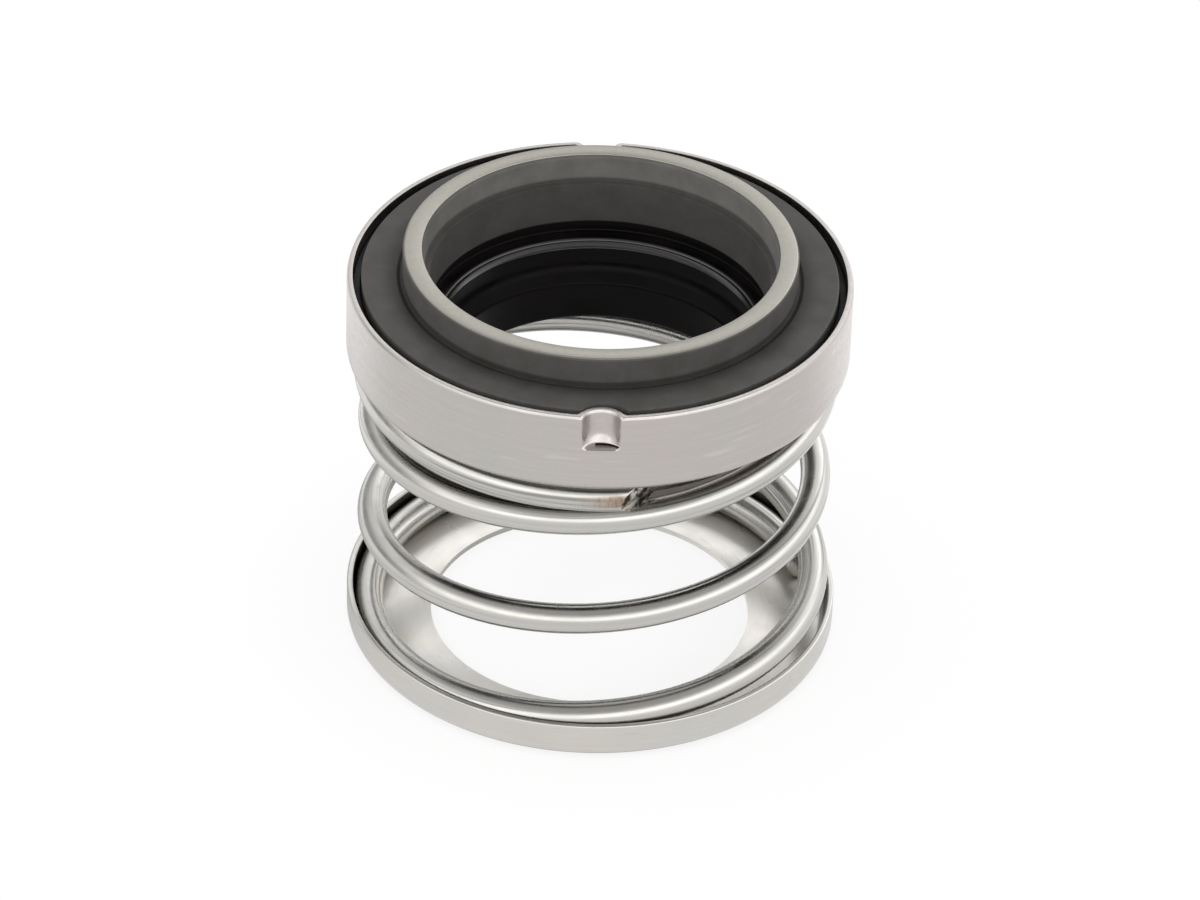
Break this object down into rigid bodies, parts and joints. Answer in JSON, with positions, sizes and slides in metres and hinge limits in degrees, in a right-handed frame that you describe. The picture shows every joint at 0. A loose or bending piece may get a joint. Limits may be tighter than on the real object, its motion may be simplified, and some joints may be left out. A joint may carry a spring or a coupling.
{
  "type": "component mechanical seal",
  "caption": "Elastomer-bellows rotary seal head with a lapped face ring, dented drive shell, coil spring and dished spring holder, for a rotating pump shaft.",
  "frame": {"origin": "centre of the spring holder's underside, on the shaft axis", "axes": "+Z along the shaft axis from the spring holder to the lapped face, -Y towards the front drive dent, +X to the right of it"},
  "size_m": [0.042, 0.042, 0.037],
  "materials": {
    "holder_steel": "satin pressed stainless",
    "spring_wire": "bright drawn stainless wire",
    "shell_steel": "satin drawn stainless",
    "band_steel": "satin pressed stainless",
    "bellows_rubber": "black moulded rubber",
    "face_carbide": "dark sintered face material, lapped on top"
  },
  "bodies": {
    "holder": {"spring_holder": "holder_steel", "coil_spring": "spring_wire"},
    "head": {"seal_face": "face_carbide", "drive_shell": "shell_steel", "rubber_bellows": "bellows_rubber", "drive_band": "band_steel"}
  },
  "joints": [
    {"name": "spring_travel", "type": "slide", "parent": "holder", "child": "head", "axis": [0, 0, 1], "range_m": [-0.0075, 0], "stiffness_N_per_m": 3400, "deforming": ["coil_spring"]}
  ]
}
